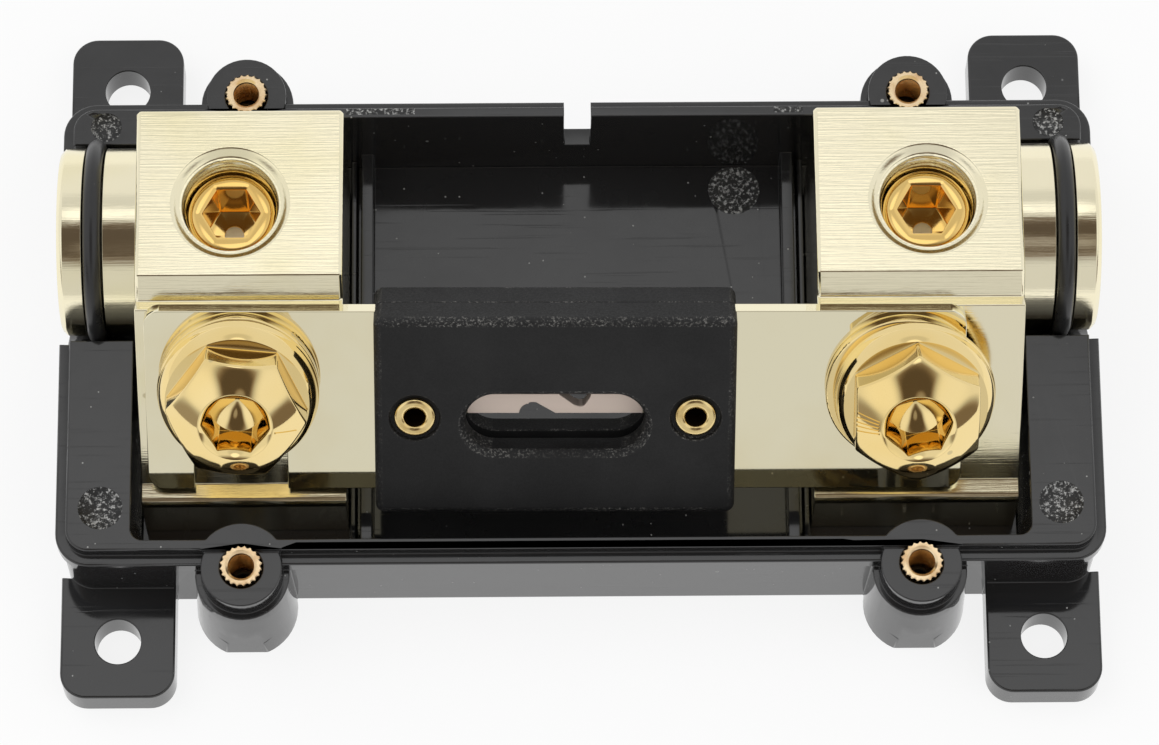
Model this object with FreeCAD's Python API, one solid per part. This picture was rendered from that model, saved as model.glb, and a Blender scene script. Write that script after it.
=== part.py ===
import FreeCAD, Part
import math
import os

Vec = FreeCAD.Vector

# Panel-mount holder for a bolt-down blade fuse, open, with its cover off. Millimetres, Z up.
# The origin is under the middle of the tray. X runs along the cables, and the fuse faces -Y.

# Tray, as long and wide as what it holds
tray_height = 14.6
bay_gap = 5.5
terminal_gap = 0.7
back_gap = 3.35
front_gap = 5.04
tray_corner = 3.4
floor_thickness = 1.5
lip_thickness = 1.1
ledge_width = 1.1
ledge_drop = 1.5
flange_thickness = 1.8
wall_recess = 0.5
cavity_corner = 1.2
cavity_draft = 0.3
end_block = 6.4
rim_break = 0.22
cut_spare = 1.0
join_overlap = 0.5

# Notch in the back rim
notch_width = 2.7
notch_depth = 7.5
notch_middle = 0.0

# Floor ribs beside the middle bay, and a low one that guides each terminal
rib_inset = 2.4
rib_thickness = 1.2
rib_height = 3.6
guide_thickness = 0.6
guide_height = 1.6
guide_clearance = 0.1

# Mounting tabs
tab_width = 11.4
tab_reach = 10.85
tab_thickness = 4.0
tab_corner = 2.6
tab_hole = 4.6
tab_hole_reach = 5.05

# Cover screw posts and their inserts
post_reach = 0.5
post_foot_radius = 5.05
post_foot_drop = 3.1
post_foot_top_radius = 4.65
post_top_radius = 4.0
post_inner_radius = 4.4
post_step = 0.6
post_flat = 4.6
insert_wall = 0.8
insert_length = 6.0
insert_bore = 2.6
insert_teeth = 20
insert_tooth = 0.22
insert_rise = 0.05
insert_clearance = 0.03
insert_chamfer = 0.3
pilot_depth = 11.0
pilot_narrowing = 0.6

# Cable terminals
terminal_width = 20.4
block_rise = 10.8
block_back = 9.85
block_front = 7.55
block_break = 0.5
side_break = 0.3
bevel_run = 2.1
bevel_angle = 38.0
slope_angle = 47.5
plate_height = 14.7
plate_start = 0.0
plate_length = 19.5
toe_depth = 2.15
toe_drop = 0.25
toe_round = 0.9
barrel_diameter = 18.7
barrel_length = 7.9
barrel_break = 0.5
cable_bore = 11.0
cable_bore_run = 6.3
drill_point = 118.0
saddle_clearance = 0.2

# Sealing rings on the barrels
ring_section = 1.75
ring_setback = 3.5
ring_depth = 0.9
ring_side_clearance = 0.12
ring_clearance = 0.02

# Set screws that clamp the cables
screw_offset = 0.9
screw_diameter = 8.8
screw_pitch = 1.5
screw_length = 8.0
screw_sink = 2.9
screw_socket = 5.0
screw_socket_depth = 6.2
screw_socket_drill = 1.9
screw_socket_point = 0.5
drill_tip_radius = 0.3
screw_clearance = 0.05
screw_break = 0.5
screw_mouth_break = 0.7
thread_depth = 0.65

# Clamp bolts and washers on the sloping plates
bolt_offset = {"left": 0.1, "right": -0.7}
bolt_slope = {"left": 7.4, "right": 8.1}
bolt_thread = 8.0
bolt_length = 11.0
bolt_clearance = 0.05
bolt_hole_spare = 0.5
bolt_flange = 15.9
bolt_flange_edge = 1.0
bolt_flange_roll = 0.15
bolt_flange_height = 2.75
bolt_flange_land = 0.12
bolt_shoulder_bulge = 0.2
bolt_hex = 12.0
bolt_head_height = 7.7
bolt_socket = 5.6
bolt_socket_bevel = 0.75
bolt_socket_depth = 4.4
bolt_socket_point = 1.4
bolt_crown_land = 0.05
bolt_crown_fall = 2.3
bolt_crown_bulge = 0.5
bolt_turn = {"left": -6.0, "right": 30.0}
bolt_socket_turn = {"left": -4.0, "right": 13.0}
washer_inset = 0.05
washer_thickness = 1.2
washer_looseness = 0.9
washer_break = 0.24
washer_shift = {"left": 0.0, "right": -0.8}
seat_gap = 0.02

# Fuse
fuse_x = -2.5
fuse_slope = 9.45
fuse_turn = -0.35
blade_length = 22.5
blade_width = 19.8
blade_thickness = 1.6
blade_corner = 1.6
side_slot_looseness = 0.6
end_slot_looseness = 0.3
body_length = 35.4
body_wall = 0.95
body_thickness = 7.6
body_shift = 0.35
body_round = 0.9
body_clearance = 0.05
window_inset = 8.85
window_width = 6.1
window_bevel = 0.7
window_flare = 0.5
window_shift = 0.74
link_width = 2.2
link_notch = 2.2
link_shift = 2.4
link_overrun = 0.6
eyelet_inset = 3.95
eyelet_bore = 2.0
eyelet_wall = 0.35
eyelet_flange = 0.7
eyelet_margin = 0.45
eyelet_recess_depth = 0.6
eyelet_roll = 0.7
eyelet_break = 0.3

SIDES = {"left": -1, "right": 1}
ENDS = {"front": -1, "back": 1}

# Along X, outwards from the middle bay
inner_face = body_length / 2 + bay_gap
outer_face = inner_face + terminal_width
terminal_x = inner_face + terminal_width / 2
half_cavity_length = outer_face + terminal_gap
half_length = half_cavity_length + end_block + ledge_width
rib_x = inner_face - rib_inset
barrel_reach = outer_face + barrel_length
ring_x = barrel_reach - ring_setback
screw_x = terminal_x + screw_offset
cable_bore_depth = barrel_reach - screw_x + cable_bore_run
bolt_x = {name: terminal_x + offset for name, offset in bolt_offset.items()}
tab_x = half_length - tab_width / 2
fuse_length = body_length + 2 * blade_length
window_length = body_length - 2 * window_inset
eyelet_spacing = body_length - 2 * eyelet_inset

# Across Y, round the depth of a terminal
slope = math.radians(slope_angle)
plate_foot = (plate_start + plate_length) * math.cos(slope) + plate_height * math.sin(slope)
terminal_depth = block_back + plate_foot + toe_depth
half_cavity_width = (back_gap + terminal_depth + front_gap) / 2
half_width = half_cavity_width + lip_thickness + ledge_width
barrel_y = half_cavity_width - back_gap - block_back
post_y = half_width + post_reach
tab_hole_y = half_width + tab_hole_reach

# Heights, over the underside or over the barrel's axis along the plate's normal
barrel_z = tray_height
block_top = barrel_z + block_rise
blade_top = plate_height + blade_thickness
fuse_middle = plate_height + blade_thickness / 2
body_slope = fuse_slope + body_shift

# Diameters and widths that follow from what they hold
insert_diameter = insert_bore + 2 * insert_wall
pilot_bore = insert_bore - pilot_narrowing
bolt_socket_mouth = bolt_socket + 2 * bolt_socket_bevel
washer_diameter = bolt_flange - 2 * washer_inset
washer_bore = bolt_thread + 2 * washer_looseness
side_slot = bolt_thread + 2 * side_slot_looseness
end_slot = bolt_thread + 2 * end_slot_looseness
body_width = blade_width + 2 * body_wall
eyelet_tube = eyelet_bore + 2 * eyelet_wall
eyelet_ring = eyelet_tube + 2 * eyelet_flange
eyelet_recess = eyelet_ring + 2 * eyelet_margin


def box(x_min, x_max, y_min, y_max, z_min, z_max):
    corner = Vec(x_min, y_min, z_min)
    return Part.makeBox(x_max - x_min, y_max - y_min, z_max - z_min, corner)


def cylinder(radius, start, axis, length):
    return Part.makeCylinder(radius, length, start, axis)


def cone(start_radius, end_radius, start, axis, length):
    return Part.makeCone(start_radius, end_radius, length, start, axis)


def face_of(points):
    return Part.Face(Part.makePolygon(points + points[:1]))


def polygon_prism(radius, sides, turn, z_min, z_max):
    points = []
    for index in range(sides):
        angle = math.radians(turn + index * 360 / sides)
        points.append(Vec(radius * math.cos(angle), radius * math.sin(angle), z_min))
    return face_of(points).extrude(Vec(0, 0, z_max - z_min))


def hexagon(across_flats, turn, z_min, z_max):
    return polygon_prism(across_flats / math.sqrt(3), 6, turn, z_min, z_max)


def rounded_outline(half_x, half_y, radius, z):
    # Four straight sides and four corner arcs, counter-clockwise
    diagonal = radius * (1 - math.sqrt(0.5))
    edges = []
    corners = [(1, -1), (1, 1), (-1, 1), (-1, -1)]
    for index, (sx, sy) in enumerate(corners):
        along_x = Vec(sx * (half_x - radius), sy * half_y, z)
        along_y = Vec(sx * half_x, sy * (half_y - radius), z)
        middle = Vec(sx * (half_x - diagonal), sy * (half_y - diagonal), z)
        first, last = (along_x, along_y) if sx * sy < 0 else (along_y, along_x)
        edges.append(Part.Arc(first, middle, last).toShape())
        next_sx, next_sy = corners[(index + 1) % 4]
        if sx == next_sx:
            target = Vec(next_sx * half_x, next_sy * (half_y - radius), z)
        else:
            target = Vec(next_sx * (half_x - radius), next_sy * half_y, z)
        edges.append(Part.LineSegment(last, target).toShape())
    return Part.Wire(edges)


def rounded_prism(half_x, half_y, radius, z_min, z_max, top_break=0.0):
    solid = Part.Face(rounded_outline(half_x, half_y, radius, z_min)).extrude(Vec(0, 0, z_max - z_min))
    if top_break <= 0:
        return solid
    rim = [edge for edge in solid.Edges if abs(edge.BoundBox.ZMin - z_max) < 1e-6]
    return solid.makeFillet(top_break, rim)


def on_slope(shape):
    # Local Z is the height over the barrel axis, and local Y points up the sloping plate
    placed = shape.copy()
    placed.rotate(Vec(0, 0, 0), Vec(1, 0, 0), slope_angle)
    placed.translate(Vec(0, barrel_y, barrel_z))
    return placed


def on_fuse(shape):
    # The fuse lies turned a little between its bolts, as far as their slots let it
    placed = shape.copy()
    placed.rotate(Vec(fuse_x, -fuse_slope, 0), Vec(0, 0, 1), fuse_turn)
    return on_slope(placed)


def slope_to_yz(down, height):
    y = -(down * math.cos(slope) + height * math.sin(slope))
    z = height * math.cos(slope) - down * math.sin(slope)
    return barrel_y + y, barrel_z + z


def save(name, shape):
    solids = shape.Solids
    if len(solids) != 1 or not solids[0].isValid():
        raise ValueError(name + " is not one valid solid")
    solids[0].exportStep("parts/" + name + ".step")
    print(name, round(solids[0].Volume, 1))


def tray_walls():
    ledge_z = tray_height - ledge_drop
    flange_z = ledge_z - flange_thickness
    wall = rounded_prism(half_length - wall_recess, half_width - wall_recess,
                         tray_corner - wall_recess, 0, ledge_z)
    flange = rounded_prism(half_length, half_width, tray_corner, flange_z, ledge_z, rim_break)
    lip = rounded_prism(half_length - ledge_width, half_width - ledge_width,
                        tray_corner - ledge_width, flange_z, tray_height, rim_break)
    return wall.fuse([flange, lip])


def tray_cavity():
    top = rounded_outline(half_cavity_length, half_cavity_width, cavity_corner, tray_height)
    bottom = rounded_outline(half_cavity_length - cavity_draft, half_cavity_width - cavity_draft,
                             cavity_corner, floor_thickness)
    return Part.makeLoft([bottom, top], True)


def mounting_tab(side, end):
    x_min = side * (half_length - tab_width)
    x_max = side * half_length
    y_out = end * (half_width + tab_reach)
    y_in = end * (half_width - wall_recess - lip_thickness)
    tab = box(min(x_min, x_max), max(x_min, x_max), min(y_in, y_out), max(y_in, y_out), 0, tab_thickness)
    corners = [edge for edge in tab.Edges
               if abs(edge.BoundBox.ZLength - tab_thickness) < 1e-6
               and abs(edge.BoundBox.YMin - y_out) < 1e-6]
    tab = tab.makeFillet(tab_corner, corners)
    rim = [edge for edge in tab.Edges
           if abs(edge.BoundBox.ZMin - tab_thickness) < 1e-6
           and abs(edge.BoundBox.Center.y - y_in) > 1e-6]
    return tab.makeFillet(rim_break, rim)


def tab_bore(side, end):
    start = Vec(side * tab_x, end * tab_hole_y, -cut_spare)
    return cylinder(tab_hole / 2, start, Vec(0, 0, 1), tab_thickness + 2 * cut_spare)


def screw_post(side, end):
    centre = Vec(side * terminal_x, end * post_y, 0)
    up = Vec(0, 0, 1)
    shoulder = tray_height - post_foot_drop
    foot = cone(post_foot_radius, post_foot_top_radius, centre, up, shoulder)
    outer = cylinder(post_top_radius, centre, up, tray_height - post_step)
    inner = cylinder(post_inner_radius, centre, up, tray_height)
    lip_face = half_width - ledge_width
    inner_zone = box(-half_length, half_length, -lip_face, lip_face, 0, tray_height)
    front = end * (post_y + post_flat)
    beyond = end * (post_y + 2 * post_foot_radius)
    flat = box(-half_length, half_length, min(front, beyond), max(front, beyond),
               -cut_spare, shoulder / 2)
    return foot.cut(flat).fuse([outer, inner.common(inner_zone)])


def insert_pocket(side, end):
    centre = Vec(side * terminal_x, end * post_y, 0)
    top = tray_height + insert_rise
    radius = insert_diameter / 2 + insert_clearance
    pocket_start = centre + Vec(0, 0, top - insert_length)
    pocket = cylinder(radius, pocket_start, Vec(0, 0, 1), insert_length + cut_spare)
    pilot_start = centre + Vec(0, 0, tray_height - pilot_depth)
    pilot = cylinder(pilot_bore / 2, pilot_start, Vec(0, 0, 1), pilot_depth)
    return pocket.fuse(pilot)


def barrel_saddle(side):
    radius = barrel_diameter / 2 + ring_section / 2 + saddle_clearance
    inside = half_cavity_length - cut_spare
    start = Vec(side * inside, barrel_y, barrel_z)
    return cylinder(radius, start, Vec(side, 0, 0), half_length)


def floor_ribs(side):
    ribs = []
    reach = half_cavity_width
    bottom = floor_thickness - join_overlap
    guide = inner_face - guide_clearance - guide_thickness
    rows = [(rib_x, rib_thickness, rib_height), (guide, guide_thickness, guide_height)]
    for start, thickness, height in rows:
        x_min = min(side * start, side * (start + thickness))
        top = floor_thickness + height
        ribs.append(box(x_min, x_min + thickness, -reach, reach, bottom, top))
    return ribs


def make_base():
    base = tray_walls().cut(tray_cavity())
    added = []
    for side in SIDES.values():
        added += floor_ribs(side)
        for end in ENDS.values():
            added.append(mounting_tab(side, end))
            added.append(screw_post(side, end))
    base = base.fuse(added)
    cuts = []
    for side in SIDES.values():
        cuts.append(barrel_saddle(side))
        for end in ENDS.values():
            cuts.append(tab_bore(side, end))
            cuts.append(insert_pocket(side, end))
    cuts.append(box(notch_middle - notch_width / 2, notch_middle + notch_width / 2,
                    half_cavity_width - cut_spare, half_width + cut_spare,
                    tray_height - notch_depth, tray_height + cut_spare))
    return base.cut(cuts).removeSplitter()


def make_insert(side, end):
    top = tray_height + insert_rise
    bottom = top - insert_length
    outer = insert_diameter / 2
    points = []
    for index in range(2 * insert_teeth):
        radius = outer if index % 2 == 0 else outer - insert_tooth
        angle = math.pi * index / insert_teeth
        points.append(Vec(radius * math.cos(angle), radius * math.sin(angle), bottom))
    body = face_of(points).extrude(Vec(0, 0, insert_length))
    radius = insert_bore / 2
    bore_start = Vec(0, 0, bottom - cut_spare)
    bore = cylinder(radius, bore_start, Vec(0, 0, 1), insert_length + 2 * cut_spare)
    mouth_start = Vec(0, 0, top - insert_chamfer)
    mouth = cone(radius, radius + insert_chamfer, mouth_start, Vec(0, 0, 1), insert_chamfer)
    insert = body.cut([bore, mouth])
    insert.translate(Vec(side * terminal_x, end * post_y, 0))
    return insert


def terminal_profile(x):
    # From the back foot over the block, down its bevel and the plate, to the toe
    back = barrel_y + block_back
    front_y = barrel_y - block_front
    bevel_fall = bevel_run * math.tan(math.radians(bevel_angle))
    bevel_foot = (front_y - bevel_run, block_top - bevel_fall)
    plate_top = slope_to_yz(plate_start, plate_height)
    plate_end = slope_to_yz(plate_start + plate_length, plate_height)
    toe = plate_end[0] - toe_depth
    corners = [(back, floor_thickness), (back, block_top), (front_y, block_top), bevel_foot,
               plate_top, plate_end, (toe, plate_end[1] - toe_drop), (toe, floor_thickness)]
    return [Vec(x, y, z) for y, z in corners]


def edge_at(solid, y, z):
    found = []
    for edge in solid.Edges:
        bounds = edge.BoundBox
        if abs(bounds.YMin - y) < 1e-4 and abs(bounds.YMax - y) < 1e-4:
            if abs(bounds.ZMin - z) < 1e-4 and abs(bounds.ZMax - z) < 1e-4:
                found.append(edge)
    return found


def terminal_block():
    points = terminal_profile(inner_face)
    block = face_of(points).extrude(Vec(terminal_width, 0, 0))
    back_top, front_top, toe_top = points[1], points[2], points[6]
    block = block.makeFillet(toe_round, edge_at(block, toe_top.y, toe_top.z))
    block = block.makeFillet(block_break, edge_at(block, back_top.y, back_top.z))
    block = block.makeFillet(side_break, edge_at(block, front_top.y, front_top.z))
    top_sides = [edge for edge in block.Edges
                 if edge.BoundBox.XLength < 1e-6 and edge.BoundBox.ZMin > block_top - 1e-4]
    return block.makeChamfer(side_break, top_sides)


def barrel():
    # Stands out of the block's outer face with a groove for the sealing ring
    out = Vec(1, 0, 0)
    radius = barrel_diameter / 2
    start = outer_face - join_overlap
    body = cylinder(radius, Vec(start, barrel_y, barrel_z), out, barrel_reach - start)
    rim = [edge for edge in body.Edges if abs(edge.BoundBox.XMin - barrel_reach) < 1e-6]
    body = body.makeChamfer(barrel_break, rim)
    width = ring_section + 2 * ring_side_clearance
    groove_start = Vec(ring_x - width / 2, barrel_y, barrel_z)
    groove = cylinder(radius + cut_spare, groove_start, out, width)
    core = cylinder(radius - ring_depth, groove_start, out, width)
    return body.cut(groove.cut(core))


def cable_hole():
    inward = Vec(-1, 0, 0)
    radius = cable_bore / 2
    mouth = Vec(barrel_reach, barrel_y, barrel_z)
    hole = cylinder(radius, mouth - inward * cut_spare, inward, cable_bore_depth + cut_spare)
    point_length = radius / math.tan(math.radians(drill_point / 2))
    point_start = mouth + inward * cable_bore_depth
    point = cone(radius, 0, point_start, inward, point_length)
    bevel = cone(radius + barrel_break, radius, mouth, inward, barrel_break)
    return hole.fuse([point, bevel])


def threaded_bore(radius, root, depth, pitch):
    # Ring-shaped V grooves, turned round local Z from z = 0 down to -depth
    points = [Vec(0, 0, cut_spare), Vec(radius, 0, cut_spare)]
    z = -pitch / 4
    while z - pitch > -depth:
        points.append(Vec(radius, 0, z))
        points.append(Vec(root, 0, z - pitch / 2))
        z -= pitch
    points.append(Vec(radius, 0, z))
    points.append(Vec(radius, 0, -depth))
    points.append(Vec(0, 0, -depth))
    return face_of(points).revolve(Vec(0, 0, 0), Vec(0, 0, 1), 360)


def screw_hole():
    radius = screw_diameter / 2 + screw_clearance
    root = radius + thread_depth
    hole = threaded_bore(radius, root, block_rise, screw_pitch)
    hole.translate(Vec(screw_x, barrel_y, block_top))
    mouth_start = Vec(screw_x, barrel_y, block_top - screw_mouth_break)
    mouth = cone(root, root + screw_mouth_break, mouth_start, Vec(0, 0, 1), screw_mouth_break)
    return hole.fuse(mouth)


def bolt_hole(name):
    radius = bolt_thread / 2 + bolt_clearance
    tip = blade_top + seat_gap + washer_thickness - bolt_length
    bottom = tip - bolt_hole_spare
    hole = cylinder(radius, Vec(0, 0, bottom), Vec(0, 0, 1), plate_height - bottom + cut_spare)
    hole.translate(Vec(bolt_x[name], -bolt_slope[name], 0))
    return on_slope(hole)


def make_terminal(name):
    body = terminal_block().fuse(barrel())
    body = body.cut([cable_hole(), screw_hole(), bolt_hole(name)])
    if SIDES[name] > 0:
        return body
    return body.mirror(Vec(0, 0, 0), Vec(1, 0, 0))


def make_ring(side):
    seat = barrel_diameter / 2 - ring_depth + ring_clearance
    middle = seat + ring_section / 2
    centre = Vec(side * ring_x, barrel_y, barrel_z)
    return Part.makeTorus(middle, ring_section / 2, centre, Vec(1, 0, 0))


def make_set_screw(side):
    top = block_top - screw_sink
    bottom = top - screw_length
    radius = screw_diameter / 2
    body = cylinder(radius, Vec(0, 0, bottom), Vec(0, 0, 1), screw_length)
    body = body.makeChamfer(screw_break, body.Edges)
    floor = top - screw_socket_depth
    socket = hexagon(screw_socket, 0, floor, top + cut_spare)
    point_start = Vec(0, 0, floor - screw_socket_point)
    point = cone(drill_tip_radius, screw_socket_drill / 2, point_start, Vec(0, 0, 1), screw_socket_point)
    body = body.cut([socket, point])
    body.translate(Vec(side * screw_x, barrel_y, 0))
    return body


def bulged(start, end, bulge):
    # An arc from start to end that stands out from the straight line, away from the axis
    along = end - start
    outward = Vec(abs(along.z), 0, abs(along.x)).normalize()
    middle = (start + end) * 0.5 + outward * bulge
    return Part.Arc(start, middle, end).toShape()


def line(start, end):
    return Part.LineSegment(start, end).toShape()


def turned(edges):
    return Part.Face(Part.Wire(edges)).revolve(Vec(0, 0, 0), Vec(0, 0, 1), 360)


def bolt_flange_solid(corner):
    # A rounded edge, then a shoulder up to the flat land round the hexagon
    edge = bolt_flange / 2
    rim_low = Vec(edge - bolt_flange_roll, 0, 0)
    rim_high = Vec(edge - bolt_flange_roll, 0, bolt_flange_edge)
    land = Vec(corner + bolt_flange_land, 0, bolt_flange_height)
    centre = Vec(0, 0, bolt_flange_height)
    edges = [line(Vec(0, 0, 0), rim_low), bulged(rim_low, rim_high, bolt_flange_roll)]
    edges += [bulged(rim_high, land, bolt_shoulder_bulge), line(land, centre), line(centre, Vec(0, 0, 0))]
    return turned(edges)


def bolt_crown_solid(corner):
    # A dome that falls from the socket's mouth to just past the hexagon's corners
    top = Vec(bolt_socket_mouth / 2 + bolt_crown_land, 0, bolt_head_height)
    outer = Vec(corner + join_overlap, 0, bolt_head_height - bolt_crown_fall)
    foot = Vec(outer.x, 0, 0)
    centre = Vec(0, 0, bolt_head_height)
    edges = [line(Vec(0, 0, 0), foot), line(foot, outer), bulged(outer, top, bolt_crown_bulge)]
    edges += [line(top, centre), line(centre, Vec(0, 0, 0))]
    return turned(edges)


def bolt_head(name):
    # The flange carries six flats under a crown turned round local Z
    corner = bolt_hex / math.sqrt(3)
    flats = hexagon(bolt_hex, bolt_turn[name], bolt_flange_edge, bolt_head_height)
    return bolt_flange_solid(corner).fuse(flats.common(bolt_crown_solid(corner)))


def make_clamp_bolt(name):
    head = bolt_head(name)
    floor = bolt_head_height - bolt_socket_depth
    socket = hexagon(bolt_socket, bolt_socket_turn[name], floor, bolt_head_height + cut_spare)
    point_start = Vec(0, 0, floor - bolt_socket_point)
    point = cone(drill_tip_radius, bolt_socket / 2, point_start, Vec(0, 0, 1), bolt_socket_point)
    mouth_start = Vec(0, 0, bolt_head_height - bolt_socket_bevel)
    mouth = cone(bolt_socket / 2, bolt_socket_mouth / 2, mouth_start, Vec(0, 0, 1), bolt_socket_bevel)
    shank = cylinder(bolt_thread / 2, Vec(0, 0, -bolt_length), Vec(0, 0, 1), bolt_length + bolt_flange_edge)
    tip = [edge for edge in shank.Edges if abs(edge.BoundBox.ZMax + bolt_length) < 1e-6]
    shank = shank.makeChamfer(bolt_thread / 10, tip)
    bolt = head.fuse(shank).cut([socket, point, mouth])
    under_head = blade_top + seat_gap + washer_thickness
    bolt.translate(Vec(SIDES[name] * bolt_x[name], -bolt_slope[name], under_head))
    return on_slope(bolt)


def make_washer(name):
    x = SIDES[name] * bolt_x[name] + washer_shift[name]
    centre = Vec(x, -bolt_slope[name], blade_top + seat_gap)
    disc = cylinder(washer_diameter / 2, centre, Vec(0, 0, 1), washer_thickness)
    disc = disc.makeFillet(washer_break, disc.Edges)
    bore_start = centre - Vec(0, 0, cut_spare)
    bore = cylinder(washer_bore / 2, bore_start, Vec(0, 0, 1), washer_thickness + 2 * cut_spare)
    return on_slope(disc.cut(bore))


def fuse_blades():
    solid = rounded_prism(fuse_length / 2, blade_width / 2, blade_corner, 0, blade_thickness)
    solid.translate(Vec(fuse_x, -fuse_slope, plate_height))
    return solid


def side_slot_cut():
    # Open at the lower edge of the left blade, round at the bolt
    x = -bolt_x["left"]
    y = -bolt_slope["left"]
    low = plate_height - cut_spare
    high = blade_top + cut_spare
    radius = side_slot / 2
    hole = cylinder(radius, Vec(x, y, low), Vec(0, 0, 1), high - low)
    run = box(x - radius, x + radius, -fuse_slope - blade_width, y, low, high)
    return hole.fuse(run)


def end_slot_cut():
    # Open at the end of the right blade, round at the bolt
    x = bolt_x["right"]
    y = -bolt_slope["right"]
    low = plate_height - cut_spare
    high = blade_top + cut_spare
    radius = end_slot / 2
    hole = cylinder(radius, Vec(x, y, low), Vec(0, 0, 1), high - low)
    run = box(x, fuse_x + fuse_length, y - radius, y + radius, low, high)
    return hole.fuse(run)


def link_cuts():
    # An opening on each side of the link, a round notch in each of its edges, and the eyelet holes
    low = plate_height - cut_spare
    high = blade_top + cut_spare
    half = window_length / 2 + link_overrun
    cuts = []
    for sign in (-1, 1):
        near = -body_slope + sign * link_width / 2
        far = -fuse_slope + sign * (blade_width / 2 + cut_spare)
        cuts.append(box(fuse_x - half, fuse_x + half, min(near, far), max(near, far), low, high))
        notch = Vec(fuse_x + sign * link_shift, near, low)
        cuts.append(cylinder(link_notch / 2, notch, Vec(0, 0, 1), high - low))
        eyelet = Vec(fuse_x + sign * eyelet_spacing / 2, -body_slope, low)
        cuts.append(cylinder(eyelet_tube / 2 + body_clearance, eyelet, Vec(0, 0, 1), high - low))
    return cuts


def make_fuse_element():
    element = fuse_blades().cut([side_slot_cut(), end_slot_cut()] + link_cuts())
    return on_fuse(element)


def window_cut(height):
    straight = (window_length - window_width) / 2
    radius = window_width / 2
    face = Part.Face(slot_outline(straight, radius, -cut_spare))
    window = face.extrude(Vec(0, 0, height + 2 * cut_spare))
    narrow = slot_outline(straight, radius, height - window_bevel)
    wide = slot_outline(straight, radius + window_flare, height)
    opening = window.fuse(Part.makeLoft([narrow, wide], True))
    opening.translate(Vec(0, -window_shift, 0))
    return opening


def slot_outline(straight, radius, z):
    right_low = Vec(straight, -radius, z)
    right_high = Vec(straight, radius, z)
    left_low = Vec(-straight, -radius, z)
    left_high = Vec(-straight, radius, z)
    right_arc = Part.Arc(right_low, Vec(straight + radius, 0, z), right_high).toShape()
    left_arc = Part.Arc(left_high, Vec(-straight - radius, 0, z), left_low).toShape()
    top = Part.LineSegment(right_high, left_high).toShape()
    bottom = Part.LineSegment(left_low, right_low).toShape()
    return Part.Wire([right_arc, top, left_arc, bottom])


def fuse_half():
    # Local z = 0 is the joint face, and the blades pass through the pocket at both ends
    height = body_thickness / 2
    half_x = body_length / 2
    half_y = body_width / 2
    half = box(-half_x, half_x, -half_y, half_y, 0, height)
    upright = [edge for edge in half.Edges if abs(edge.BoundBox.ZLength - height) < 1e-6]
    half = half.makeFillet(body_round, upright)
    rim = [edge for edge in half.Edges if abs(edge.BoundBox.ZMin - height) < 1e-6]
    half = half.makeFillet(body_round, rim)
    pocket_y = blade_width / 2 + body_clearance
    reach = half_x + cut_spare
    pocket = box(-reach, reach, body_shift - pocket_y, body_shift + pocket_y,
                 -cut_spare, blade_thickness / 2)
    cuts = [pocket, window_cut(height)]
    up = Vec(0, 0, 1)
    for sign in (-1, 1):
        x = sign * eyelet_spacing / 2
        radius = eyelet_tube / 2 + body_clearance
        cuts.append(cylinder(radius, Vec(x, 0, -cut_spare), up, height + 2 * cut_spare))
        recess_start = Vec(x, 0, height - eyelet_recess_depth)
        cuts.append(cylinder(eyelet_recess / 2, recess_start, up, eyelet_recess_depth + cut_spare))
    return half.cut(cuts)


def make_fuse_half(upper):
    half = fuse_half()
    if not upper:
        half = half.mirror(Vec(0, 0, 0), Vec(0, 0, 1))
    half.translate(Vec(fuse_x, -body_slope, fuse_middle))
    return on_fuse(half)


def make_eyelet(side):
    # A tube with a rolled ring at each end, in the body's recesses
    height = body_thickness / 2 - eyelet_recess_depth
    tube = cylinder(eyelet_tube / 2, Vec(0, 0, -height), Vec(0, 0, 1), 2 * height)
    parts = [tube]
    for sign in (-1, 1):
        start = Vec(0, 0, sign * height)
        ring = cylinder(eyelet_ring / 2, start, Vec(0, 0, sign), eyelet_roll)
        face = sign * (height + eyelet_roll)
        outer = [edge for edge in ring.Edges if abs(edge.BoundBox.Center.z - face) < 1e-6]
        parts.append(ring.makeFillet(eyelet_break, outer))
    bore = cylinder(eyelet_bore / 2, Vec(0, 0, -body_thickness), Vec(0, 0, 1), 2 * body_thickness)
    eyelet = parts[0].fuse(parts[1:]).cut(bore)
    eyelet.translate(Vec(fuse_x + side * eyelet_spacing / 2, -body_slope, fuse_middle))
    return on_fuse(eyelet)


def main():
    os.makedirs("parts", exist_ok=True)
    save("base", make_base())
    for end_name, end in ENDS.items():
        for side_name, side in SIDES.items():
            save("insert_" + end_name + "_" + side_name, make_insert(side, end))
    for name, side in SIDES.items():
        save("terminal_" + name, make_terminal(name))
        save("sealing_ring_" + name, make_ring(side))
        save("set_screw_" + name, make_set_screw(side))
        save("clamp_bolt_" + name, make_clamp_bolt(name))
        save("washer_" + name, make_washer(name))
        save("fuse_eyelet_" + name, make_eyelet(side))
    save("fuse_element", make_fuse_element())
    save("fuse_body_upper", make_fuse_half(True))
    save("fuse_body_lower", make_fuse_half(False))


main()
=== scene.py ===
import math

import bpy
from mathutils import Matrix, Vector


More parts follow.
